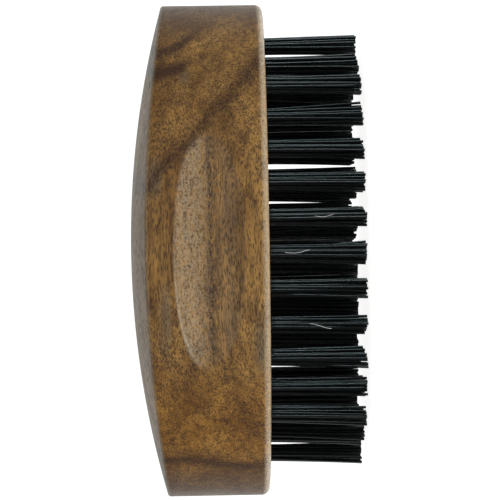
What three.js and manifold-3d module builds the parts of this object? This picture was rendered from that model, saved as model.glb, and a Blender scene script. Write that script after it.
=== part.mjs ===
// Palm beard brush: an oval hardwood block with a finger scoop along each side and a field of
// staple-set bristle tufts. Millimetres, +Z up. The brush stands on its bristle tips at z = 0,
// its length runs along X and its width along Y, and the origin is the centre of its footprint.

import * as THREE from "three";
import { mergeVertices } from "three/addons/utils/BufferGeometryUtils.js";
import Module from "manifold-3d";

const wasm = await Module();
wasm.setup();

// ---- Driving dimensions -------------------------------------------------------------------

// Wooden block
const BLOCK_LENGTH = 100;
const BLOCK_WIDTH = 48;
const BLOCK_SIDE_HEIGHT = 24.5; // side wall at the middle of the length
const OUTLINE_POWER = 2.2; // 2 is an ellipse, more is squarer
const BACK_CROWN = 2.9; // rise of the back across the width
const BACK_LENGTH_RADIUS = 185; // arch of the back along the length
const FACE_EDGE_RADIUS = 1.5;
const BACK_EDGE_RADIUS = 0.7;

// Finger scoops
const SCOOP_DEPTH = 2.6;
const SCOOP_WIDTH = 14;
const SCOOP_DROP = 0.4; // from the middle of the side wall down to the middle of the scoop

// Bristle field: rows run along the length and bow outwards with the outline
const ROW_COUNTS = [11, 12, 13, 12, 11];
const SIDE_MARGIN = 10; // from the block's side to the middle of the outer row
const END_MARGIN = 8.5; // from the block's end to the last tuft of the longest row
const ROW_SETBACK = 4.3; // each row ends this much short of its longer neighbour
const ROW_BOW = 0.2; // share of its offset that a row loses at the ends of the longest row
const SPACING_EASE = 0.72; // tufts of a row close up towards its ends; a bigger angle does it more
const WANDER = 0.5; // share of the spare wood between two holes that a hand-set hole may stray
const WANDER_SEEDS = [40611, 92, 3525, 644, 2]; // one for each row

// One tuft: bristles folded round a flat wire anchor and driven into a blind hole
const BRISTLE_LENGTH = 19.9; // free length of the longest tufts
const TRIM_CROWN = 0.7; // the tips rise by this towards both ends of the field
const INNER_TRIM = 1.4; // tufts inside the outer ring are cut shorter
const TUFT_DIAMETER = 3.2;
const TUFT_SPLAY = 0.7; // growth in diameter from the hole to the tip
const TUFT_SIDES = 8;
const FOLD_TAPER = 1.1; // height of the rounded fold at the root
const HOLE_DEPTH = 11;
const CLEARANCE = 0.3;
const ANCHOR_BITE = 0.3; // how far each end of the anchor goes into the hole's wall
const ANCHOR_THICKNESS = 0.5;
const ANCHOR_HEIGHT = 1.4;
const ANCHOR_COVER = 0.5; // bristle between the anchor and the bottom of the fold

// Mesh fineness
const OUTLINE_STEPS = 96;
const FILLET_STEPS = 3;
const BACK_RINGS = 6;
const SCOOP_SIDES = 72;
const HOLE_SIDES = 10;

// ---- Worked out from them -----------------------------------------------------------------

const faceZ = BRISTLE_LENGTH;
const halfLength = BLOCK_LENGTH / 2;
const halfWidth = BLOCK_WIDTH / 2;
const crestZ = faceZ + BLOCK_SIDE_HEIGHT + BACK_CROWN;
const scoopZ = faceZ + BLOCK_SIDE_HEIGHT / 2 - SCOOP_DROP;
const backWidthRadius = (halfWidth ** 2 + BACK_CROWN ** 2) / (2 * BACK_CROWN);
const holeRadius = (TUFT_DIAMETER / 2 + CLEARANCE) / Math.cos(Math.PI / HOLE_SIDES);
const holeEndZ = faceZ + HOLE_DEPTH;
const foldZ = holeEndZ - CLEARANCE;
const anchorTopZ = foldZ - ANCHOR_COVER;
const anchorReach = holeRadius + ANCHOR_BITE;
const pocketReach = anchorReach + CLEARANCE;
const middleRow = (ROW_COUNTS.length - 1) / 2;
const rowPitch = (halfWidth - SIDE_MARGIN) / middleRow;
const fieldHalfLength = halfLength - END_MARGIN;

const woodMaterial = new THREE.MeshStandardMaterial({
  color: 0x7d5a33,
  roughness: 0.38,
  metalness: 0,
});
const bristleMaterial = new THREE.MeshStandardMaterial({
  color: 0x101214,
  roughness: 0.5,
  metalness: 0,
});

// ---- Solids -------------------------------------------------------------------------------

function toSolid(geometry) {
  const bare = geometry.clone();
  bare.deleteAttribute("normal");
  bare.deleteAttribute("uv");
  const merged = mergeVertices(bare, 1e-4);
  return new wasm.Manifold(
    new wasm.Mesh({
      numProp: 3,
      vertProperties: new Float32Array(merged.attributes.position.array),
      triVerts: new Uint32Array(merged.index.array),
    }),
  );
}

function toGeometry(solid) {
  const { vertProperties, triVerts } = solid.getMesh();
  const indexed = new THREE.BufferGeometry();
  indexed.setAttribute("position", new THREE.BufferAttribute(vertProperties, 3));
  indexed.setIndex(new THREE.BufferAttribute(triVerts, 1));
  const geometry = indexed.toNonIndexed();
  geometry.computeVertexNormals();
  return geometry;
}

function makeMesh(name, solid, material) {
  const mesh = new THREE.Mesh(toGeometry(solid), material);
  mesh.name = name;
  return mesh;
}

// A box given by its size and centre.
function box(size, centre) {
  return toSolid(new THREE.BoxGeometry(...size).translate(...centre));
}

// A solid of revolution about Z from [radius, z] points that start and end on the axis.
function turned(points, sides) {
  const profile = points.map(([radius, z]) => new THREE.Vector2(radius, z));
  return toSolid(new THREE.LatheGeometry(profile, sides).rotateX(Math.PI / 2));
}

// ---- Wooden block -------------------------------------------------------------------------

const signedPower = (value, power) => Math.sign(value) * Math.abs(value) ** power;

// Point of the block's outline at an angle, moved inwards along the outline's normal.
function outlinePoint(angle, inset) {
  const cos = Math.cos(angle);
  const sin = Math.sin(angle);
  const point = new THREE.Vector2(
    halfLength * signedPower(cos, 2 / OUTLINE_POWER),
    halfWidth * signedPower(sin, 2 / OUTLINE_POWER),
  );
  const normal = new THREE.Vector2(
    signedPower(cos, 2 - 2 / OUTLINE_POWER) / halfLength,
    signedPower(sin, 2 - 2 / OUTLINE_POWER) / halfWidth,
  ).normalize();
  return point.addScaledVector(normal, -inset);
}

function arcDrop(radius, distance) {
  return radius - Math.sqrt(radius ** 2 - distance ** 2);
}

function backZ(x, y) {
  return crestZ - arcDrop(BACK_LENGTH_RADIUS, x) - arcDrop(backWidthRadius, y);
}

// The rings of points that wrap the block, from the bristle face round to the back.
function blockRings() {
  const rings = [];
  const addRing = (pointAt) => {
    const ring = [];
    for (let i = 0; i < OUTLINE_STEPS; i++) {
      ring.push(pointAt((i / OUTLINE_STEPS) * 2 * Math.PI));
    }
    rings.push(ring);
  };
  for (let k = 0; k <= FILLET_STEPS; k++) {
    const turn = ((k / FILLET_STEPS) * Math.PI) / 2;
    addRing((angle) => {
      const { x, y } = outlinePoint(angle, FACE_EDGE_RADIUS * (1 - Math.sin(turn)));
      return [x, y, faceZ + FACE_EDGE_RADIUS * (1 - Math.cos(turn))];
    });
  }
  for (let k = 0; k <= FILLET_STEPS; k++) {
    const turn = ((k / FILLET_STEPS) * Math.PI) / 2;
    addRing((angle) => {
      const { x, y } = outlinePoint(angle, BACK_EDGE_RADIUS * (1 - Math.cos(turn)));
      const edge = outlinePoint(angle, BACK_EDGE_RADIUS);
      return [x, y, backZ(edge.x, edge.y) - BACK_EDGE_RADIUS * (1 - Math.sin(turn))];
    });
  }
  for (let k = BACK_RINGS - 1; k > 0; k--) {
    addRing((angle) => {
      const { x, y } = outlinePoint(angle, BACK_EDGE_RADIUS).multiplyScalar(k / BACK_RINGS);
      return [x, y, backZ(x, y)];
    });
  }
  return rings;
}

function blockBlank() {
  const rings = blockRings();
  const positions = rings.flat();
  const faceCentre = positions.push([0, 0, faceZ]) - 1;
  const backCentre = positions.push([0, 0, crestZ]) - 1;
  const indices = [];
  for (let i = 0; i < OUTLINE_STEPS; i++) {
    const next = (i + 1) % OUTLINE_STEPS;
    indices.push(faceCentre, next, i);
    for (let k = 0; k < rings.length - 1; k++) {
      const low = k * OUTLINE_STEPS;
      const high = low + OUTLINE_STEPS;
      indices.push(low + i, low + next, high + next);
      indices.push(low + i, high + next, high + i);
    }
    const last = (rings.length - 1) * OUTLINE_STEPS;
    indices.push(last + i, last + next, backCentre);
  }
  const geometry = new THREE.BufferGeometry();
  geometry.setAttribute("position", new THREE.Float32BufferAttribute(positions.flat(), 3));
  geometry.setIndex(indices);
  return toSolid(geometry);
}

// The round bar that, sunk into one side, leaves a finger scoop.
function scoopCutter(side) {
  const radius = ((SCOOP_WIDTH / 2) ** 2 + SCOOP_DEPTH ** 2) / (2 * SCOOP_DEPTH);
  return toSolid(
    new THREE.CylinderGeometry(radius, radius, BLOCK_LENGTH, SCOOP_SIDES)
      .rotateZ(Math.PI / 2)
      .translate(0, side * (halfWidth - SCOOP_DEPTH + radius), scoopZ),
  );
}

// A tuft's blind hole, with the pockets that the ends of its anchor press into the wall.
function holeCutter(x, y) {
  const hole = turned(
    [
      [0, faceZ - CLEARANCE],
      [holeRadius, faceZ - CLEARANCE],
      [holeRadius, holeEndZ],
      [0, holeEndZ],
    ],
    HOLE_SIDES,
  );
  const pocket = box(
    [2 * pocketReach, ANCHOR_THICKNESS + 2 * CLEARANCE, ANCHOR_HEIGHT + 2 * CLEARANCE],
    [0, 0, anchorTopZ - ANCHOR_HEIGHT / 2],
  );
  return hole.add(pocket).translate([x, y, 0]);
}

function makeBlock(tufts) {
  let block = blockBlank();
  for (const side of [-1, 1]) {
    block = block.subtract(scoopCutter(side));
  }
  const holes = tufts.map(({ x, y }) => holeCutter(x, y));
  block = block.subtract(wasm.Manifold.union(holes));
  return makeMesh("wood_block", block, woodMaterial);
}

// ---- Bristle tufts ------------------------------------------------------------------------

// A repeatable stand-in for chance, between -1 and 1.
function scatter(seed, index) {
  const wave = Math.sin(seed * 12.9898 + index * 78.233) * 43758.5453;
  return 2 * (wave - Math.floor(wave)) - 1;
}

// The tufts of one row, each with its place and the height of its tip.
function layOutRow(row) {
  const last = ROW_COUNTS[row] - 1;
  const rowHalfLength = fieldHalfLength - ROW_SETBACK * Math.abs(row - middleRow);
  const isOuterRow = row === 0 || row === ROW_COUNTS.length - 1;
  const easeAt = (turn) => Math.sin(turn) / Math.sin(SPACING_EASE);
  const evenSpacing = (2 * rowHalfLength) / last;
  const endSpacing = rowHalfLength * (1 - easeAt(SPACING_EASE * (1 - 2 / last)));
  const easeRoom = (evenSpacing - 2 * anchorReach - CLEARANCE) / (evenSpacing - endSpacing);
  const ease = Math.min(1, Math.max(0, easeRoom)); // a crowded row is spaced more evenly
  const tufts = [];
  for (let index = 0; index <= last; index++) {
    const evenShare = (2 * index) / last - 1;
    const turn = SPACING_EASE * evenShare;
    const easedSpacing = (evenSpacing * SPACING_EASE * Math.cos(turn)) / Math.sin(SPACING_EASE);
    const spacing = ease * easedSpacing + (1 - ease) * evenSpacing;
    const spareWood = Math.max(0, spacing - holeRadius - pocketReach);
    const isRowEnd = index === 0 || index === last;
    const seed = WANDER_SEEDS[row % WANDER_SEEDS.length];
    const stray = isRowEnd ? 0 : WANDER * spareWood * scatter(seed, index);
    const x = rowHalfLength * (ease * easeAt(turn) + (1 - ease) * evenShare) + stray;
    const share = (x / fieldHalfLength) ** 2;
    const y = (row - middleRow) * rowPitch * (1 - ROW_BOW * share);
    const isStandingTuft = isOuterRow && 2 * index === last;
    const innerTrim = isOuterRow || isRowEnd ? 0 : INNER_TRIM;
    const tipZ = isStandingTuft ? 0 : innerTrim + TRIM_CROWN * share;
    tufts.push({ row, index, x, y, tipZ });
  }
  return tufts;
}

// The folded bundle with the anchor it is crimped on, as one solid.
function makeTuft({ row, index, x, y, tipZ }) {
  const rootRadius = TUFT_DIAMETER / 2;
  const bundle = turned(
    [
      [0, tipZ],
      [rootRadius + TUFT_SPLAY / 2, tipZ],
      [rootRadius, faceZ],
      [rootRadius, foldZ - FOLD_TAPER],
      [rootRadius - FOLD_TAPER / 2, foldZ],
      [0, foldZ],
    ],
    TUFT_SIDES,
  );
  const anchor = box(
    [2 * anchorReach, ANCHOR_THICKNESS, ANCHOR_HEIGHT],
    [0, 0, anchorTopZ - ANCHOR_HEIGHT / 2],
  );
  const name = `bristle_tuft_r${row + 1}_${String(index + 1).padStart(2, "0")}`;
  const mesh = makeMesh(name, bundle.add(anchor), bristleMaterial);
  mesh.position.set(x, y, 0);
  return mesh;
}

// ---- Assembly -----------------------------------------------------------------------------

const brush = new THREE.Group();
const tufts = ROW_COUNTS.flatMap((count, row) => layOutRow(row));
brush.add(makeBlock(tufts));
for (const tuft of tufts) {
  brush.add(makeTuft(tuft));
}

export default brush;
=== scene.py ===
"""Visual model of a palm-held beard brush: a carved walnut block and its staple-set bristle tufts.

The CAD frame gives the places and sizes. Metres, with +X along the block, +Y across it and +Z from
the bristle tips up to the crowned back.
"""

import math

import bpy
import numpy as np
from mathutils import Matrix, Vector, geometry


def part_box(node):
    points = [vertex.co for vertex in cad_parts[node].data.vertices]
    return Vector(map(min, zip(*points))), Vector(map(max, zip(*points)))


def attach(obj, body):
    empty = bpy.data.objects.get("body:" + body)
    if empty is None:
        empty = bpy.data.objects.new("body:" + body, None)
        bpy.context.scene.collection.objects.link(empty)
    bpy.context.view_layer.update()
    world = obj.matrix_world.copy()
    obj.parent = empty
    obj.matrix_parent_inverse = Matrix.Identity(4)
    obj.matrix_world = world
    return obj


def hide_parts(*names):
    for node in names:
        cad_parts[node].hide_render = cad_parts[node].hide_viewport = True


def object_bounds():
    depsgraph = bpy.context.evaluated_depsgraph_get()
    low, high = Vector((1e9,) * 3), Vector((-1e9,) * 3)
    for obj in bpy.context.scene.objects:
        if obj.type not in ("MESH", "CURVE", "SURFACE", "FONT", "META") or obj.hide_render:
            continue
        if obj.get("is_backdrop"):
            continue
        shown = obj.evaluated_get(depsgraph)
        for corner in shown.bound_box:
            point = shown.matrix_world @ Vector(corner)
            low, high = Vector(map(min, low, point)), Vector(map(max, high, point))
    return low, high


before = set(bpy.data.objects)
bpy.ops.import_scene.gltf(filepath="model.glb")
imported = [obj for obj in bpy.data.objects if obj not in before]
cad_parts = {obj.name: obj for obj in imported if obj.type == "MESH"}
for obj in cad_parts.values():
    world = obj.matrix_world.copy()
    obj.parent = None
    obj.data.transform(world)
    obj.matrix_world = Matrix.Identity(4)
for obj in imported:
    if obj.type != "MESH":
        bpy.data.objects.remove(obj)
cad_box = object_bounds()

MM = 0.001

# ---- Sizes that the frame doesn't state ------------------------------------------------------

# Block, as in the CAD
OUTLINE_POWER = 2.2
BACK_CROWN = 2.9 * MM
BACK_LENGTH_RADIUS = 185 * MM
FACE_EDGE_RADIUS = 1.5 * MM
BACK_EDGE_RADIUS = 0.7 * MM
SCOOP_DEPTH = 2.6 * MM
SCOOP_WIDTH = 14 * MM
SCOOP_DROP = 0.4 * MM
HOLE_DEPTH = 11 * MM

# The scoop's bottom follows a shallow arc, and the holes are round, midway between the flats and
# the corners of the CAD's
SCOOP_SWEEP_RADIUS = 600 * MM
HOLE_RADIUS = 1.95 * MM

# Sanded edges of the block, and how worn the edge of its back is
SCOOP_EDGE_SOFTNESS = 0.22 * MM
HOLE_RIM = 0.15 * MM
BACK_EDGE_WEAR = 0.4

# Depth at which the scoop has its full sanded tone
SCOOP_TONE_DEPTH = 0.3 * MM

# A painted highlight runs along the scoop's edge, above its middle line and towards its -X end
SCOOP_HIGHLIGHT_DEPTH = SCOOP_DEPTH / 3
SCOOP_HIGHLIGHT_START_Z = 0.8 * MM
SCOOP_HIGHLIGHT_FADE_Z = 4 * MM
SCOOP_HIGHLIGHT_START_X = 6 * MM
SCOOP_HIGHLIGHT_FADE_X = 20 * MM

# Fineness of the block's surface
OUTLINE_POINTS = 640
FACE_EDGE_RINGS = 6
PLAIN_WALL_RINGS = 12
SCOOP_RINGS = 30
SCOOP_EDGE_RINGS = 7
SCOOP_EDGE_BAND = 0.45 * MM
SCOOP_EDGE_SHARE = 0.3
LEAST_SCOOP_GRID = 1.1 * MM
FACE_FLAT_MARGIN = 0.4 * MM
BACK_EDGE_RINGS = 4
BACK_RINGS = 36
HOLE_POINTS = 28
OUTLINE_SAMPLES = 20001
BLOCK_SHARP_ANGLE = math.radians(42)

# Filaments of a tuft and how they are folded over the anchor. Folds nest: each rises higher by a
# share of its filament's distance from the anchor.
FILAMENT_RADIUS = 0.27 * MM
FILAMENT_SIDES = 8
FILAMENT_PITCH = 0.58 * MM
FILAMENT_SHARP_ANGLE = math.radians(50)
BUNDLE_RADIUS = 1.85 * MM
FREE_STEPS = 6
FOLD_STEPS = 5
FOLD_CLEARANCE = 0.3 * MM
FOLD_HEIGHT = 0.9 * MM
FOLD_NESTING = 0.12

# Lean of the filaments at their tips: outwards from the middle of their tuft, all one way, and
# outwards near the ends of the brush. The power says how late along a filament it comes in.
BUNDLE_SPLAY = 0.2
SETTLED_LEAN = -0.2 * MM
END_LEAN = 0.8 * MM
LEAN_POWER = 1.25

# Unevenness of the tufts and of the filaments in them
FIRST_SEED = 1000
TUFT_LEAN_SPREAD = 0.16 * MM
TUFT_SLANT_SPREAD = 0.3
ROOT_JITTER = 0.03 * MM
LEAN_SPREAD = 0.14 * MM
STRAY_SHARE = 0.06
STRAY_LEAN_SPREAD = 0.8 * MM
CURL_SPREAD = 0.03 * MM
TRIM_SPREAD = 0.26 * MM
MOST_TRIM = 0.7 * MM
SHORT_SHARE = 0.06
SHORT_BY = (0.3 * MM, 1.6 * MM)

# Short light hairs that cling to a share of the outer tufts. Their waves turn by some radians
# along the hair.
OUTER_ROW_Y = 9.5 * MM
LINT_SHARE = 0.25
LINT_RADIUS = 0.05 * MM
LINT_POINTS = 9
LINT_START = (1.5 * MM, 11 * MM)
LINT_LENGTH = (2.5 * MM, 5 * MM)
LINT_DRIFT = 1.2 * MM
LINT_LIFT = 0.25 * MM
LINT_WAVE_X = 0.25 * MM
LINT_WAVE_Y = 0.1 * MM
LINT_TURN_X = 4
LINT_TURN_Y = 5

# Flat wire anchor across the fold of each tuft
ANCHOR_REACH = 2.2 * MM
ANCHOR_THICKNESS = 0.3 * MM
ANCHOR_HEIGHT = 1.4 * MM
ANCHOR_COVER = 0.5 * MM
ANCHOR_SIDES = 16
ANCHOR_ROUNDING = 0.5

block_low, block_high = (np.array(corner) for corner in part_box("wood_block"))
half_length = (block_high[0] - block_low[0]) / 2
half_width = (block_high[1] - block_low[1]) / 2
face_z = block_low[2]
crest_z = block_high[2]
back_width_radius = (half_width**2 + BACK_CROWN**2) / (2 * BACK_CROWN)
scoop_radius = ((SCOOP_WIDTH / 2) ** 2 + SCOOP_DEPTH**2) / (2 * SCOOP_DEPTH)
scoop_z = face_z + (crest_z - face_z - BACK_CROWN) / 2 - SCOOP_DROP
anchor_top_z = face_z + HOLE_DEPTH - FOLD_CLEARANCE - ANCHOR_COVER
tuft_names = sorted(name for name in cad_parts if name.startswith("bristle_tuft"))


# ---- Camera ----------------------------------------------------------------------------------

CAMERA_DISTANCE = 0.6
CAMERA_ELEVATION = math.radians(2)
CAMERA_TILT = math.radians(0.93)
VIEW_HEIGHT = 102.2 * MM
AIM_Z = 23 * MM


def make_camera():
    """The brush seen from its side with its length upright, so the camera lies on its side."""
    data = bpy.data.cameras.new("camera")
    data.angle = 2 * math.atan(VIEW_HEIGHT / 2 / CAMERA_DISTANCE)
    data.clip_start = 0.01
    ahead = Vector((0, math.cos(CAMERA_ELEVATION), -math.sin(CAMERA_ELEVATION)))
    length = Vector((1, 0, 0))
    height = length.cross(ahead)
    right = -math.sin(CAMERA_TILT) * length - math.cos(CAMERA_TILT) * height
    up = math.cos(CAMERA_TILT) * length - math.sin(CAMERA_TILT) * height
    turn = Matrix((right, up, -ahead)).transposed().to_4x4()
    camera = bpy.data.objects.new("camera", data)
    camera.matrix_world = Matrix.Translation(Vector((0, 0, AIM_Z)) - CAMERA_DISTANCE * ahead) @ turn
    bpy.context.collection.objects.link(camera)
    bpy.context.scene.camera = camera


# ---- Node graphs -----------------------------------------------------------------------------


class Graph:
    """A node tree whose inputs may be sockets, numbers or colours."""

    def __init__(self, tree):
        self.tree = tree
        tree.nodes.clear()

    def node(self, kind, inputs=None, **settings):
        """A new node. Its settings come first, because some of them change its inputs."""
        node = self.tree.nodes.new("ShaderNode" + kind)
        for key, value in settings.items():
            setattr(node, key, value)
        for key, value in (inputs or {}).items():
            if isinstance(value, bpy.types.NodeSocket):
                self.tree.links.new(value, node.inputs[key])
            else:
                node.inputs[key].default_value = value
        return node

    def math(self, operation, *values, clamp=False):
        inputs = dict(enumerate(values))
        return self.node("Math", inputs, operation=operation, use_clamp=clamp).outputs[0]

    def vector(self, operation, *values):
        inputs = dict(enumerate(values))
        return self.node("VectorMath", inputs, operation=operation).outputs[0]

    def remap(self, value, low, high, to_low=0.0, to_high=1.0):
        """A smooth step between two levels. It falls where low is above high."""
        inputs = {0: value, 1: low, 2: high, 3: to_low, 4: to_high}
        return self.node("MapRange", inputs, interpolation_type="SMOOTHSTEP").outputs[0]

    def noise(self, place, scale, detail=3.0, roughness=0.55, output="Fac"):
        inputs = {"Vector": place, "Scale": scale, "Detail": detail, "Roughness": roughness}
        return self.node("TexNoise", inputs).outputs[output]

    def grain(self, place, scales, detail=3.0, roughness=0.55, output="Fac"):
        """Noise with its own scale along each axis."""
        return self.noise(self.vector("MULTIPLY", place, scales), 1.0, detail, roughness, output)

    def point_value(self, name):
        """A value that the mesh holds at its points."""
        return self.node("Attribute", attribute_name=name).outputs["Fac"]

    def blend(self, factor, first, second, mode="MIX"):
        settings = {"data_type": "RGBA", "blend_type": mode, "clamp_factor": True}
        return self.node("Mix", {0: factor, 6: first, 7: second}, **settings).outputs[2]

    def bump(self, height, strength, distance):
        inputs = {"Height": height, "Strength": strength, "Distance": distance}
        return self.node("Bump", inputs).outputs[0]


def new_material(name):
    """A material and its empty graph."""
    material = bpy.data.materials.new(name)
    material.use_nodes = True
    return material, Graph(material.node_tree)


def close_graph(graph, shader):
    """Joins the shader to the material's output."""
    graph.node("OutputMaterial", {"Surface": shader.outputs[0]})


# ---- Materials -------------------------------------------------------------------------------

WALNUT_LIGHT = (0.350, 0.188, 0.048, 1)
WALNUT_MID = (0.185, 0.088, 0.019, 1)
WALNUT_DARK = (0.046, 0.020, 0.008, 1)
WALNUT_PORE = (0.026, 0.008, 0.003, 1)
WALNUT_GREY = (0.310, 0.235, 0.145, 1)
# Pale colour for the painted highlights on the face edge and the scoop's edge, and for the worn
# back edge
WALNUT_EDGE_HIGHLIGHT_AND_WEAR = (0.460, 0.380, 0.265, 1)
WALNUT_AMBER = (0.960, 0.860, 0.620, 1)
WALNUT_PATCH_GREY = (0.130, 0.100, 0.065, 1)
FILAMENT_BLACK = (0.0007, 0.0011, 0.0013, 1)
FILAMENT_GREY = (0.0035, 0.0048, 0.0050, 1)
FILAMENT_SCUFF = (0.0200, 0.0220, 0.0220, 1)
LINT_DULL = (0.350, 0.340, 0.310, 1)
LINT_WHITE = (0.750, 0.740, 0.710, 1)
WIRE_DARK = (0.420, 0.410, 0.390, 1)
WIRE_LIGHT = (0.600, 0.590, 0.570, 1)

# Scales of the wood's patterns along the fibres and across them, per mm
SWAY_GRAIN = (0.06, 0.09, 0.09)
CLOUD_GRAIN = (0.045, 0.16, 0.16)
STREAK_GRAIN = (0.05, 0.8, 0.8)
SILK_GRAIN = (0.45, 3.0, 3.0)
PORE_GRAIN = (0.62, 2.8, 2.8)
PORE_CROWD_GRAIN = (0.07, 0.3, 0.3)
OPEN_PORE_GRAIN = (0.9, 3.0, 3.0)
GRIT_SCALE = 2.2

# Scales of the patterns on the filaments, the lint and the wire, per metre
SCUFF_GRAIN = (2500.0, 2500.0, 300.0)
LINT_SCALE = 4000.0
WIRE_GRAIN = (400.0, 9000.0, 9000.0)

# How far the grain sways, in mm, and how strongly the fibres bow towards the ends, per mm
SWAY_REACH = (5.0, 3.0, 3.0)
FIBRE_BOW_Y = 1 / 130
FIBRE_BOW_Z = 1 / 400

# Height and y of the side that the streaks are placed on, in mm
SIDE_MIDDLE_Z = 33
SIDE_Y = -24

# How far a streak shifts along the block for each mm across it
STREAK_SKEW = 0.3

# How much the wood darkens for each mm towards the back
BACK_DARKENING = 0.008

# Dark streaks of the heartwood, in mm: where each crosses the middle of the side, its slope, its
# half width and strength, and the heights between which it shows
STREAKS = (
    (23.4, -1.02, 1.7, 1.00, 10, 60),
    (40.4, -0.46, 1.0, 1.40, 34, 60),
    (35.9, -0.32, 1.5, 1.60, 35, 60),
    (32.8, -0.50, 2.6, 0.50, 27, 40),
    (-45.6, 0.10, 1.7, 1.20, 10, 60),
    (-23.5, 1.30, 2.4, 0.60, 10, 27),
)
STREAK_FADE = 2

# Grey patches on the side, in mm: middle of each along and up the side, its half length and half
# width
GREY_PATCHES = (
    (-13.0, 40.6, 7.0, 1.5),
    (-18.5, 21.5, 6.0, 1.7),
    (14.0, 42.0, 4.0, 1.6),
    (35.0, 36.0, 2.0, 1.4),
)

# Row of coarse open pores along the bottom of the scoop: its height and half width, in mm
COARSE_PORES_Z = 31.5
COARSE_PORES_HALF_WIDTH = 1.1

# Where along the block, in mm, the darkening of both ends and the amber tone of the -X end
# begin and are at their strongest
DARK_ENDS_X = (41.0, 49.0)
AMBER_X = (-20.0, -32.0)


class Walnut:
    """Patterns of oiled walnut, in mm. Its fibres dive through the surface towards the ends."""

    def __init__(self, g):
        metres = g.node("TexCoord").outputs["Object"]
        place = g.node("VectorMath", {0: metres, "Scale": 1 / MM}, operation="SCALE").outputs[0]
        self.height = g.node("SeparateXYZ", {0: place}).outputs[2]
        sway = g.grain(place, SWAY_GRAIN, 2.0, output="Color")
        sway = g.vector("MULTIPLY", g.vector("SUBTRACT", sway, (0.5, 0.5, 0.5)), SWAY_REACH)
        swayed = g.vector("ADD", place, sway)
        self.x, self.y, self.z = g.node("SeparateXYZ", {0: swayed}).outputs
        x_squared = g.math("MULTIPLY", self.x, self.x)
        fibre_y = g.math("MULTIPLY_ADD", x_squared, FIBRE_BOW_Y, self.y)
        fibre_z = g.math("MULTIPLY_ADD", x_squared, FIBRE_BOW_Z, self.z)
        self.fibre = g.node("CombineXYZ", {0: self.x, 1: fibre_y, 2: fibre_z}).outputs[0]
        self.clouds = g.grain(self.fibre, CLOUD_GRAIN)
        self.streaks = g.grain(self.fibre, STREAK_GRAIN, 4.0)
        self.silk = g.grain(self.fibre, SILK_GRAIN, 2.0, 0.7)
        self.grit = g.noise(place, GRIT_SCALE, 2.0, 0.7)
        self.scoop = g.point_value("scoop")
        self.wear = g.point_value("wear")
        self.pores = closed_pores(g, self)
        self.open_pores = coarse_pores(g, self)


def closed_pores(g, wood):
    """Short marks along the fibres, larger where they crowd."""
    place = g.vector("MULTIPLY", wood.fibre, PORE_GRAIN)
    cells = g.node("TexVoronoi", {"Vector": place, "Scale": 1.0, "Randomness": 1.0})
    size = g.remap(g.grain(wood.fibre, PORE_CROWD_GRAIN), 0.3, 0.7, 0.38, 0.7)
    distance = g.math("DIVIDE", cells.outputs["Distance"], size)
    return g.remap(g.math("SUBTRACT", 1.0, distance, clamp=True), 0.0, 0.7)


def coarse_pores(g, wood):
    """Open pores in one row along the bottom of the scoop."""
    distance = g.math("ABSOLUTE", g.math("SUBTRACT", wood.height, COARSE_PORES_Z))
    row = g.remap(distance, COARSE_PORES_HALF_WIDTH, 0.0)
    marks = g.remap(g.grain(wood.fibre, OPEN_PORE_GRAIN, 2.0, 0.7), 0.46, 0.54)
    return g.math("MULTIPLY", g.math("MULTIPLY", row, marks), wood.scoop)


def heart_streaks(g, wood):
    """How strongly a dark streak shows at a place."""
    total = 0.0
    patches = g.remap(wood.silk, 0.7, 0.35, 0.45, 1.0)
    across = g.math("MULTIPLY_ADD", wood.y, STREAK_SKEW, -STREAK_SKEW * SIDE_Y)
    for start, slope, half_wide, strength, low, high in STREAKS:
        line = g.math("MULTIPLY_ADD", wood.z, slope, start - slope * SIDE_MIDDLE_Z)
        distance = g.math("SUBTRACT", g.math("SUBTRACT", wood.x, line), across)
        distance = g.math("DIVIDE", g.math("ABSOLUTE", distance), math.hypot(1, slope))
        core = g.remap(distance, half_wide, 0.0, 0.0, strength * 0.6)
        halo = g.remap(distance, half_wide * 3, 0.0, 0.0, strength * 0.4)
        streak = g.math("MULTIPLY", g.math("ADD", core, halo), patches)
        above_low = g.remap(wood.z, low - STREAK_FADE, low + STREAK_FADE)
        below_high = g.remap(wood.z, high + STREAK_FADE, high - STREAK_FADE)
        streak = g.math("MULTIPLY", g.math("MULTIPLY", streak, above_low), below_high)
        total = g.math("MAXIMUM", total, streak)
    return total


def grey_patches(g, wood):
    """How strongly a grey patch shows at a place."""
    total = 0.0
    for middle_x, middle_z, half_long, half_wide in GREY_PATCHES:
        along = g.math("DIVIDE", g.math("SUBTRACT", wood.x, middle_x), half_long)
        across = g.math("DIVIDE", g.math("SUBTRACT", wood.z, middle_z), half_wide)
        across_squared = g.math("MULTIPLY", across, across)
        reach = g.math("SQRT", g.math("MULTIPLY_ADD", along, along, across_squared))
        total = g.math("MAXIMUM", total, g.remap(reach, 1.3, 0.2))
    return g.math("MULTIPLY", total, g.remap(wood.streaks, 0.35, 0.6, 0.35, 0.85))


def darker_ends(g, wood):
    """How much darker the block is towards both ends."""
    ends = g.remap(g.math("ABSOLUTE", wood.x), *DARK_ENDS_X, 0.0, 0.85)
    return g.math("MULTIPLY", ends, g.remap(wood.streaks, 0.7, 0.35, 0.88, 1.0))


def sanded_scoop_and_sheen(g, wood):
    """How grey the sanded scoop is. The extra grey on its flank nearer the back, which faces the
    floor's light, is painted sheen.
    """
    middle = scoop_z / MM
    # Painted sheen: greyer up the flank that faces the floor's light
    flank = g.remap(wood.height, middle - 1, middle + 2.5, 0.15, 0.65)
    return g.math("MULTIPLY", g.math("MULTIPLY", wood.scoop, flank), g.remap(wood.grit, 0.38, 0.6))


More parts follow.
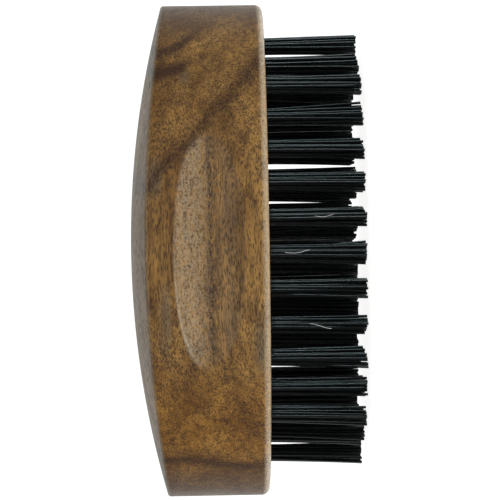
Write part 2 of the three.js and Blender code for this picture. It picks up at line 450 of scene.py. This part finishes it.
def walnut_color(g, wood):
    """Clouds of two browns, then the darker and greyer marks in layers, then a pale colour on the
    edges: worn on the back edge, a painted highlight on the face edge and the scoop's edge.
    """
    darkening = g.math("MULTIPLY_ADD", wood.z, -BACK_DARKENING, BACK_DARKENING * SIDE_MIDDLE_Z)
    clouds = g.math("ADD", wood.clouds, darkening)
    color = g.blend(g.remap(clouds, 0.3, 0.7), WALNUT_MID, WALNUT_LIGHT)
    layers = (
        (g.remap(wood.streaks, 0.6, 0.3, 0.0, 0.55), WALNUT_DARK),
        (g.remap(wood.silk, 0.56, 0.3, 0.0, 0.8), WALNUT_DARK),
        (grey_patches(g, wood), WALNUT_PATCH_GREY),
        (heart_streaks(g, wood), WALNUT_DARK),
        (darker_ends(g, wood), WALNUT_DARK),
        (g.math("MULTIPLY", wood.pores, 0.7), WALNUT_PORE),
        (wood.open_pores, WALNUT_PORE),
        (sanded_scoop_and_sheen(g, wood), WALNUT_GREY),
    )
    for amount, layer in layers:
        color = g.blend(amount, color, layer)
    color = g.blend(g.remap(wood.x, *AMBER_X), color, WALNUT_AMBER, "MULTIPLY")
    # Painted highlight along the face edge and the scoop's edge, and the worn back edge, in a pale
    # colour
    edge_highlight_and_wear = g.math("MULTIPLY", wood.wear, g.remap(wood.grit, 0.3, 0.7, 0.2, 0.75))
    return g.blend(edge_highlight_and_wear, color, WALNUT_EDGE_HIGHLIGHT_AND_WEAR)


def walnut_roughness(g, wood):
    """Duller in the pores and the silk, and smoother on the worn back edge and under the painted
    edge highlights.
    """
    roughness = g.math("MULTIPLY_ADD", wood.pores, 0.2, 0.3)
    roughness = g.math("MULTIPLY_ADD", wood.silk, 0.12, roughness)
    return g.math("MULTIPLY_ADD", wood.wear, -0.06, roughness)


def walnut_normal(g, wood):
    """Sunk pores, the silk's fine ribs, and the tooling marks in the scoop."""
    relief = g.math("MULTIPLY_ADD", wood.pores, -1.0, g.math("MULTIPLY", wood.silk, 0.6))
    tooling = g.math("MULTIPLY", wood.grit, wood.scoop)
    relief = g.math("MULTIPLY_ADD", tooling, 3.0, relief)
    relief = g.math("MULTIPLY_ADD", wood.open_pores, -5.0, relief)
    return g.bump(relief, 0.4, 0.06 * MM)


def walnut():
    """Oiled walnut for the block."""
    material, g = new_material("oiled_walnut")
    wood = Walnut(g)
    inputs = {
        "Base Color": walnut_color(g, wood),
        "Roughness": walnut_roughness(g, wood),
        "Normal": walnut_normal(g, wood),
        "IOR": 1.38,
    }
    close_graph(g, g.node("BsdfPrincipled", inputs))
    return material


def black_filament():
    """Glossy black filament, a little greyer on some bristles and scuffed in places."""
    material, g = new_material("black_filament")
    scuff = g.grain(g.node("TexCoord").outputs["Object"], SCUFF_GRAIN, 2.0)
    color = g.blend(g.point_value("shade"), FILAMENT_BLACK, FILAMENT_GREY)
    inputs = {
        "Base Color": g.blend(g.remap(scuff, 0.6, 0.8, 0.0, 0.3), color, FILAMENT_SCUFF),
        "Roughness": g.remap(scuff, 0.2, 0.8, 0.24, 0.36),
        "Normal": g.bump(scuff, 0.1, 0.01 * MM),
        "IOR": 1.5,
    }
    close_graph(g, g.node("BsdfPrincipled", inputs))
    return material


def pale_lint():
    """Cotton lint, uneven in whiteness."""
    material, g = new_material("pale_lint")
    mottle = g.noise(g.node("TexCoord").outputs["Object"], LINT_SCALE, 2.0)
    inputs = {
        "Base Color": g.blend(mottle, LINT_DULL, LINT_WHITE),
        "Roughness": g.remap(mottle, 0.2, 0.8, 0.6, 0.8),
        "Normal": g.bump(mottle, 0.3, 0.01 * MM),
    }
    close_graph(g, g.node("BsdfPrincipled", inputs))
    return material


def anchor_wire():
    """Drawn steel wire, with fine lines along it."""
    material, g = new_material("anchor_wire")
    lines = g.grain(g.node("TexCoord").outputs["Object"], WIRE_GRAIN, 2.0)
    inputs = {
        "Base Color": g.blend(g.remap(lines, 0.3, 0.7), WIRE_DARK, WIRE_LIGHT),
        "Roughness": g.remap(lines, 0.2, 0.8, 0.28, 0.42),
        "Metallic": 1.0,
        "Normal": g.bump(lines, 0.3, 0.01 * MM),
    }
    close_graph(g, g.node("BsdfPrincipled", inputs))
    return material


# ---- Meshes ----------------------------------------------------------------------------------


class Surface:
    """Collects points, faces and per-point values for one mesh."""

    def __init__(self):
        self.points = []
        self.faces = []
        self.values = {}
        self.materials = []

    def add(self, points, faces, material=0, **values):
        """Adds points, and faces whose indices count from the first of them."""
        start = sum(len(block) for block in self.points)
        self.points.append(np.asarray(points, float))
        self.join([[start + index for index in face] for face in faces], material)
        for name, value in values.items():
            spread = np.broadcast_to(value, len(points)).astype(float)
            self.values.setdefault(name, []).append(spread)
        return start

    def join(self, faces, material=0):
        """Adds faces whose indices count from the first point of the whole mesh."""
        self.faces += [list(face) for face in faces]
        self.materials += [material] * len(faces)

    def to_object(self, name, materials, sharp_angle):
        """A smooth-shaded object with the points, faces and values collected so far."""
        mesh = bpy.data.meshes.new(name)
        mesh.from_pydata(np.vstack(self.points).tolist(), [], self.faces)
        for value_name, blocks in self.values.items():
            attribute = mesh.attributes.new(value_name, "FLOAT", "POINT")
            attribute.data.foreach_set("value", np.concatenate(blocks).astype(np.float32))
        mesh.polygons.foreach_set("material_index", self.materials)
        mesh.shade_smooth()
        mesh.set_sharp_from_angle(angle=sharp_angle)
        for material in materials:
            mesh.materials.append(material)
        mesh.update()
        piece = bpy.data.objects.new(name, mesh)
        bpy.context.collection.objects.link(piece)
        return piece


def ring_faces(count, low, high):
    """Quads between two closed rings of the same number of points."""
    faces = []
    for i in range(count):
        following = (i + 1) % count
        faces.append((low + i, low + following, high + following, high + i))
    return faces


# ---- Walnut block ----------------------------------------------------------------------------


def signed_power(value, power):
    """A power of the size of a value, with the value's sign."""
    return np.sign(value) * np.abs(value) ** power


def outline(angles, inset=0.0):
    """Points of the block's outline, moved inwards along its normal."""
    cos, sin = np.cos(angles), np.sin(angles)
    x = half_length * signed_power(cos, 2 / OUTLINE_POWER)
    y = half_width * signed_power(sin, 2 / OUTLINE_POWER)
    normal_x = signed_power(cos, 2 - 2 / OUTLINE_POWER) / half_length
    normal_y = signed_power(sin, 2 - 2 / OUTLINE_POWER) / half_width
    size = np.hypot(normal_x, normal_y)
    return x - inset * normal_x / size, y - inset * normal_y / size


def even_angles():
    """Angles that space the outline's points evenly along it."""
    angles = np.linspace(0, 2 * np.pi, OUTLINE_SAMPLES)
    x, y = outline(angles)
    travel = np.concatenate(([0], np.cumsum(np.hypot(np.diff(x), np.diff(y)))))
    steps = np.linspace(0, travel[-1], OUTLINE_POINTS, endpoint=False)
    return np.interp(steps, travel, angles)


def arc_drop(radius, distance):
    """How far a circle has fallen below its top at a distance from its middle."""
    return radius - np.sqrt(radius**2 - distance**2)


def back_z(x, y):
    """Height of the crowned back."""
    return crest_z - arc_drop(BACK_LENGTH_RADIUS, x) - arc_drop(back_width_radius, y)


def scoop_bottom(x):
    """Distance of the scoop's deepest line from the block's middle plane."""
    return half_width - SCOOP_DEPTH + arc_drop(SCOOP_SWEEP_RADIUS, x)


def ramp(value, start, length):
    """0 up to the start, then evenly up to 1 over the length."""
    return np.clip((value - start) / length, 0, 1)


def carve_scoop(x, y, z):
    """The wall's y after the finger scoop, the scoop's depth, and how near its edge is, 0 to 1."""
    rise = np.clip(z - scoop_z, -scoop_radius, scoop_radius)
    floor = scoop_bottom(x) + arc_drop(scoop_radius, rise)
    wall = np.abs(y)
    nearness = np.maximum(SCOOP_EDGE_SOFTNESS - np.abs(wall - floor), 0) / SCOOP_EDGE_SOFTNESS
    carved = np.minimum(wall, floor) - nearness**2 * SCOOP_EDGE_SOFTNESS / 4
    return np.sign(y) * carved, wall - carved, nearness


def wall_heights(x, y, low_z, high_z):
    """Heights of the wall's rings. They crowd along the edge of the scoop and follow it."""
    cut = np.maximum(np.abs(y) - scoop_bottom(x), 0)
    reach = np.sqrt(2 * scoop_radius * cut - cut**2)
    reach = np.maximum(reach, LEAST_SCOOP_GRID)
    edge = np.minimum(SCOOP_EDGE_BAND, reach * SCOOP_EDGE_SHARE)
    stops = (low_z, scoop_z - reach - edge, scoop_z - reach + edge)
    stops += (scoop_z + reach - edge, scoop_z + reach + edge, high_z)
    counts = (PLAIN_WALL_RINGS, SCOOP_EDGE_RINGS, SCOOP_RINGS, SCOOP_EDGE_RINGS, PLAIN_WALL_RINGS)
    for start, end, count in zip(stops[:-1], stops[1:], counts):
        for step in np.linspace(0, 1, count, endpoint=False):
            yield start + step * (end - start)


def block_rings():
    """Rings from the bristle face to the middle of the back: x, y, z and each ring's edge value,
    which paints a highlight on the face edge and marks the worn back edge.
    """
    angles = even_angles()
    edge_x, edge_y = outline(angles, BACK_EDGE_RADIUS)
    edge_z = back_z(edge_x, edge_y) - BACK_EDGE_RADIUS
    low_z = face_z + FACE_EDGE_RADIUS
    x, y = outline(angles, FACE_EDGE_RADIUS + FACE_FLAT_MARGIN)
    yield x, y, np.full_like(x, face_z), 0.0
    # The face edge's fillet carries a painted highlight, strongest halfway round it
    for turn in np.linspace(0, np.pi / 2, FACE_EDGE_RINGS):
        x, y = outline(angles, FACE_EDGE_RADIUS * (1 - np.sin(turn)))
        yield x, y, np.full_like(x, low_z - FACE_EDGE_RADIUS * np.cos(turn)), np.sin(2 * turn)
    x, y = outline(angles)
    for height in list(wall_heights(x, y, low_z, edge_z))[1:]:
        yield x, y, height, 0.0
    for turn in np.linspace(0, np.pi / 2, BACK_EDGE_RINGS):
        x, y = outline(angles, BACK_EDGE_RADIUS * (1 - np.cos(turn)))
        yield x, y, edge_z + BACK_EDGE_RADIUS * np.sin(turn), BACK_EDGE_WEAR * np.sin(2 * turn)
    for step in np.linspace(1, 0, BACK_RINGS)[1:-1]:
        yield edge_x * step, edge_y * step, back_z(edge_x * step, edge_y * step), 0.0


def circle_points(radius, centre):
    """Points of a hole's ring, as x and y."""
    turns = np.linspace(0, 2 * np.pi, HOLE_POINTS, endpoint=False)
    return centre + radius * np.column_stack((np.cos(turns), np.sin(turns)))


def add_hole(surface, rim, centre):
    """The blind hole inside a rim on the bristle face: a small chamfer, the wall and its end."""
    start = rim
    for depth in (HOLE_RIM, HOLE_DEPTH / 2, HOLE_DEPTH):
        heights = np.full(HOLE_POINTS, face_z + depth)
        points = np.column_stack((circle_points(HOLE_RADIUS, centre), heights))
        ring = surface.add(points, [], wear=0.0, scoop=0.0)
        surface.join(ring_faces(HOLE_POINTS, ring, start))
        start = ring
    surface.join([range(start + HOLE_POINTS - 1, start - 1, -1)])


def add_bristle_face(surface, border, centres):
    """The flat face between the block's border ring and the rims of the holes, and the holes."""
    rim_radius = HOLE_RADIUS + HOLE_RIM
    loops = [border] + [circle_points(rim_radius, centre) for centre in centres]
    edges = []
    start = 0
    for loop in loops:
        edges += [(start + i, start + (i + 1) % len(loop)) for i in range(len(loop))]
        start += len(loop)
    spots = np.vstack(loops)
    corners = [Vector(spot) for spot in spots]
    triangles = geometry.delaunay_2d_cdt(corners, edges, [], 1, 1e-7)[2]
    rim_spots = spots[len(border):]
    rim_points = np.column_stack((rim_spots, np.full(len(rim_spots), face_z)))
    rims = surface.add(rim_points, [], wear=0.0, scoop=0.0)
    shift = rims - len(border)
    clear = rim_radius * math.cos(math.pi / HOLE_POINTS)
    # Triangles whose middle lies inside a rim are left out, because the hole is there
    for triangle in triangles:
        middle = spots[list(triangle)].mean(axis=0)
        if np.hypot(*(centres - middle).T).min() > clear:
            surface.join([[i if i < len(border) else i + shift for i in reversed(triangle)]])
    for index, centre in enumerate(centres):
        add_hole(surface, rims + index * HOLE_POINTS, centre)


def scoop_edge_highlight(x, z, depth, nearness):
    """How strong the painted highlight along the scoop's edge is."""
    edge_highlight_and_wear = np.sqrt(nearness) * (depth < SCOOP_HIGHLIGHT_DEPTH)
    edge_highlight_and_wear = edge_highlight_and_wear * ramp(z, scoop_z + SCOOP_HIGHLIGHT_START_Z, SCOOP_HIGHLIGHT_FADE_Z)
    return edge_highlight_and_wear * ramp(-x, -SCOOP_HIGHLIGHT_START_X, SCOOP_HIGHLIGHT_FADE_X)


def make_block(material):
    """The whole block as one closed mesh. Its first ring borders the bristle face."""
    surface = Surface()
    rings = []
    for x, y, z, wear in block_rings():
        carved_y, depth, nearness = carve_scoop(x, y, z)
        faces = ring_faces(OUTLINE_POINTS, -OUTLINE_POINTS, 0) if rings else []
        # The edge value also carries the painted highlight along the scoop's edge
        surface.add(
            np.column_stack((x, carved_y, z)),
            faces,
            wear=np.maximum(wear, scoop_edge_highlight(x, z, depth, nearness)),
            scoop=ramp(depth, 0, SCOOP_TONE_DEPTH),
        )
        rings.append(np.column_stack((x, carved_y)))
    last_ring = ring_faces(OUTLINE_POINTS, -OUTLINE_POINTS, 0)
    caps = [(face[0], face[1], 0) for face in last_ring]
    surface.add([(0, 0, crest_z)], caps, wear=0.0, scoop=0.0)
    centres = np.array([tuft_place(name)[:2] for name in tuft_names])
    add_bristle_face(surface, rings[0], centres)
    block = surface.to_object("walnut_block", [material], BLOCK_SHARP_ANGLE)
    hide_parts("wood_block")
    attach(block, "root")
    return block


# ---- Bristle tufts ---------------------------------------------------------------------------


def tuft_place(name):
    """Middle of a tuft's hole and the height of its tips: x, y, z."""
    low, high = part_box(name)
    return (low[0] + high[0]) / 2, (low[1] + high[1]) / 2, low[2]


def bundle_spots():
    """Close-packed places on one side of the anchor, relative to the middle of the bundle."""
    reach = BUNDLE_RADIUS - FILAMENT_RADIUS
    rows = int(reach / (FILAMENT_PITCH * math.sqrt(3) / 2)) + 1
    spots = []
    for row in range(rows):
        y = FILAMENT_PITCH * (0.75 + row * math.sqrt(3) / 2)
        for column in range(-rows, rows + 1):
            x = FILAMENT_PITCH * (column + 0.5 * ((row + 1) % 2))
            if math.hypot(x, y) <= reach:
                spots.append((x, y))
    return np.array(spots)


def leg(rng, root, tip_z, tuft_lean, slant):
    """Points of one free bristle from the mouth of its hole to its trimmed tip."""
    along = np.linspace(0, 1, FREE_STEPS + 1)
    lean = root * BUNDLE_SPLAY + tuft_lean + rng.normal(0, LEAN_SPREAD, 2)
    if rng.random() < STRAY_SHARE:
        lean = lean + rng.normal(0, STRAY_LEAN_SPREAD, 2)
    curl = rng.normal(0, CURL_SPREAD, 2)
    end_z = tip_z + min(abs(rng.normal(0, TRIM_SPREAD)), MOST_TRIM)
    end_z += max(np.dot(root, slant), 0)
    if rng.random() < SHORT_SHARE:
        end_z += rng.uniform(*SHORT_BY)
    spread = np.outer(along**LEAN_POWER, lean) + np.outer(np.sin(np.pi * along), curl)
    height = face_z + along * (end_z - face_z)
    return np.column_stack((root + spread, height))


def hairpin(rng, spot, tip_z, tuft_lean, slant):
    """One bristle folded over the anchor: tip, leg, fold, leg, tip."""
    first = leg(rng, spot, tip_z, tuft_lean, slant)
    second = leg(rng, spot * (1, -1), tip_z, tuft_lean, slant)
    turns = np.linspace(0, np.pi, FOLD_STEPS)
    fold_x = np.full(FOLD_STEPS, spot[0])
    fold_y = spot[1] * np.cos(turns)
    fold_rise = FOLD_HEIGHT + FILAMENT_RADIUS + FOLD_NESTING * spot[1]
    fold_z = anchor_top_z - FOLD_HEIGHT + fold_rise * np.sin(turns)
    return np.vstack((first[::-1], np.column_stack((fold_x, fold_y, fold_z)), second))


def sweep(path, radius=FILAMENT_RADIUS):
    """Points and faces of a round filament along a path that lies near a plane of constant x."""
    steps = np.gradient(path, axis=0)
    steps /= np.linalg.norm(steps, axis=1)[:, None]
    side = np.array([1.0, 0, 0]) - steps * steps[:, :1]
    side /= np.linalg.norm(side, axis=1)[:, None]
    other = np.cross(steps, side)
    turns = np.linspace(0, 2 * np.pi, FILAMENT_SIDES, endpoint=False)
    rings = (
        path[:, None]
        + radius * np.cos(turns)[None, :, None] * side[:, None]
        + radius * np.sin(turns)[None, :, None] * other[:, None]
    )
    faces = []
    for ring in range(len(path) - 1):
        faces += ring_faces(FILAMENT_SIDES, ring * FILAMENT_SIDES, (ring + 1) * FILAMENT_SIDES)
    last = (len(path) - 1) * FILAMENT_SIDES
    faces.append(tuple(reversed(range(FILAMENT_SIDES))))
    faces.append(tuple(range(last, last + FILAMENT_SIDES)))
    return rings.reshape(-1, 3), faces


def anchor_bar():
    """Points and faces of the flat wire, with rounded long edges."""
    turns = np.linspace(0, 2 * np.pi, ANCHOR_SIDES, endpoint=False)
    y = ANCHOR_THICKNESS / 2 * signed_power(np.cos(turns), ANCHOR_ROUNDING)
    rise = ANCHOR_HEIGHT / 2 * signed_power(np.sin(turns), ANCHOR_ROUNDING)
    z = anchor_top_z - ANCHOR_HEIGHT / 2 + rise
    ends = []
    for x in (-ANCHOR_REACH, ANCHOR_REACH):
        ends.append(np.column_stack((np.full(ANCHOR_SIDES, x), y, z)))
    faces = ring_faces(ANCHOR_SIDES, 0, ANCHOR_SIDES)
    faces.append(tuple(reversed(range(ANCHOR_SIDES))))
    faces.append(tuple(range(ANCHOR_SIDES, 2 * ANCHOR_SIDES)))
    return np.vstack(ends), faces


def lint_path(rng):
    """A short curled hair that clings to the outside of a tuft, relative to its hole."""
    along = np.linspace(0, 1, LINT_POINTS)
    start = rng.uniform(*LINT_START)
    length = rng.uniform(*LINT_LENGTH)
    drift = rng.uniform(-LINT_DRIFT, LINT_DRIFT)
    x = drift * along + LINT_WAVE_X * np.sin(LINT_TURN_X * along + rng.uniform(0, 6))
    y = BUNDLE_RADIUS + LINT_LIFT + LINT_WAVE_Y * np.sin(LINT_TURN_Y * along)
    return np.column_stack((x, y, face_z - start - length * along))


def make_tuft(name, number, materials):
    """Folded filaments, the wire anchor inside their fold and, on some tufts, one light hair."""
    rng = np.random.default_rng(FIRST_SEED + number)
    x, y, tip_z = tuft_place(name)
    surface = Surface()
    tuft_lean = rng.normal(0, TUFT_LEAN_SPREAD, 2)
    tuft_lean[0] += SETTLED_LEAN + END_LEAN * (x / half_length) ** 3
    slant = rng.normal(0, TUFT_SLANT_SPREAD, 2)
    for spot in bundle_spots():
        jittered = spot + rng.uniform(-ROOT_JITTER, ROOT_JITTER, 2)
        points, faces = sweep(hairpin(rng, jittered, tip_z, tuft_lean, slant))
        surface.add(points + (x, y, 0), faces, shade=rng.random() ** 2)
    points, faces = anchor_bar()
    surface.add(points + (x, y, 0), faces, material=1, shade=0.0)
    if abs(y) > OUTER_ROW_Y and rng.random() < LINT_SHARE:
        points, faces = sweep(lint_path(rng) * (1, math.copysign(1, y), 1), LINT_RADIUS)
        surface.add(points + (x, y, 0), faces, material=2, shade=0.0)
    visible_name = name.replace("bristle_tuft", "bristles")
    tuft = surface.to_object(visible_name, materials, FILAMENT_SHARP_ANGLE)
    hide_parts(name)
    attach(tuft, "root")
    return tuft


# ---- Floor and light -------------------------------------------------------------------------

# Brightness of the floor to the camera and to the brush
FLOOR_GLOW = 0.9
FLOOR_UPLIGHT = 1.35
FLOOR_REACH = 6.0
FLOOR_WHITE = (0.86, 0.86, 0.86, 1)

# Brightness of the room by direction: in front, behind, below and straight down
ROOM_FRONT = 0.08
ROOM_BACK = 0.75
ROOM_BELOW = 2.3
ROOM_TABLE = 1.0

# How much of the room's light falls on dull surfaces, and how much brighter its ends are
ROOM_FILL = 0.55
ROOM_ENDS = 0.7
ROOM_COLOR = (0.955, 1.0, 0.975, 1)
BACKDROP_COLOR = (1, 1, 1, 1)
BACKDROP_GLOW = 1.1

# Direction components between which one part of the room fades into the next
BEHIND_Y = (-0.35, 0.15)
BELOW_Z = (-0.3, -0.55)
TABLE_Z = (-0.65, -0.85)

# Lamps: place, side, power and colour
WOOD_SOFTBOX = ((0, -0.6, 0.5), 0.5, 1.5, (1, 1, 1))
BRISTLE_SOFTBOX = ((0.8, -0.45, 0.06), 0.07, 2.8, (0.74, 0.95, 1))


def make_floor():
    """A pale light table. It lights the brush from below more than it shows."""
    material, g = new_material("pale_floor")
    seen = g.node("LightPath").outputs["Is Camera Ray"]
    glow = g.math("MULTIPLY_ADD", seen, FLOOR_GLOW - FLOOR_UPLIGHT, FLOOR_UPLIGHT)
    inputs = {
        "Base Color": FLOOR_WHITE,
        "Roughness": 0.9,
        "Specular IOR Level": 0.0,
        "Emission Color": (1, 1, 1, 1),
        "Emission Strength": glow,
    }
    close_graph(g, g.node("BsdfPrincipled", inputs))
    mesh = bpy.data.meshes.new("floor")
    signs = ((-1, -1), (1, -1), (1, 1), (-1, 1))
    corners = [(x * FLOOR_REACH, y * FLOOR_REACH, 0) for x, y in signs]
    mesh.from_pydata(corners, [], [(0, 1, 2, 3)])
    mesh.materials.append(material)
    floor = bpy.data.objects.new("floor", mesh)
    floor.visible_glossy = False
    bpy.context.collection.objects.link(floor)
    floor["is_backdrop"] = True


def room_strength(g, rays):
    """Brightness of the room in each direction, lower in the light that falls on dull surfaces."""
    along, ahead, up = g.node("SeparateXYZ", {0: g.node("TexCoord").outputs["Generated"]}).outputs
    behind = g.remap(ahead, *BEHIND_Y, ROOM_FRONT, ROOM_BACK)
    table = g.remap(up, *TABLE_Z, ROOM_BELOW, ROOM_TABLE)
    below = g.math("MULTIPLY", g.remap(up, *BELOW_Z), table)
    ends = g.math("MULTIPLY_ADD", g.math("ABSOLUTE", along), ROOM_ENDS, 1.0)
    room = g.math("MULTIPLY", g.math("MAXIMUM", behind, below), ends)
    fill = g.math("MULTIPLY_ADD", rays["Is Diffuse Ray"], ROOM_FILL - 1, 1.0)
    return g.math("MULTIPLY", room, fill)


def make_world():
    """White to the camera. Reflections see a room dark in front, bright behind and below."""
    world = bpy.data.worlds.new("studio")
    bpy.context.scene.world = world
    world.use_nodes = True
    g = Graph(world.node_tree)
    rays = g.node("LightPath").outputs
    room = g.node("Background", {"Color": ROOM_COLOR, "Strength": room_strength(g, rays)})
    backdrop = g.node("Background", {"Color": BACKDROP_COLOR, "Strength": BACKDROP_GLOW})
    choice = {0: rays["Is Camera Ray"], 1: room.outputs[0], 2: backdrop.outputs[0]}
    mix = g.node("MixShader", choice)
    g.node("OutputWorld", {"Surface": mix.outputs[0]})


def add_softbox(name, place, size, power, color, pieces):
    """A square lamp aimed at the brush, which lights only these pieces."""
    data = bpy.data.lights.new(name, "AREA")
    data.size = size
    data.energy = power
    data.color = color
    light = bpy.data.objects.new(name, data)
    light.location = place
    aim = Vector((0, 0, AIM_Z)) - Vector(place)
    light.rotation_euler = aim.to_track_quat("-Z", "Y").to_euler()
    bpy.context.collection.objects.link(light)
    receivers = bpy.data.collections.new(name + "_lights")
    for piece in pieces:
        receivers.objects.link(piece)
    light.light_linking.receiver_collection = receivers


# ---- Build -----------------------------------------------------------------------------------

make_camera()
make_world()
make_floor()
block = make_block(walnut())
tuft_materials = [black_filament(), anchor_wire(), pale_lint()]
tufts = [make_tuft(name, number, tuft_materials) for number, name in enumerate(tuft_names)]

# A soft lamp for the wood, and a small low one that draws a line of light along each bristle
add_softbox("wood_softbox", *WOOD_SOFTBOX, [block])
add_softbox("bristle_softbox", *BRISTLE_SOFTBOX, tufts)
bpy.context.scene.view_settings.view_transform = "Standard"

boxes = {"cad": cad_box, "visual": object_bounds()}
{key: [list(map(float, corner)) for corner in box] for key, box in boxes.items()}
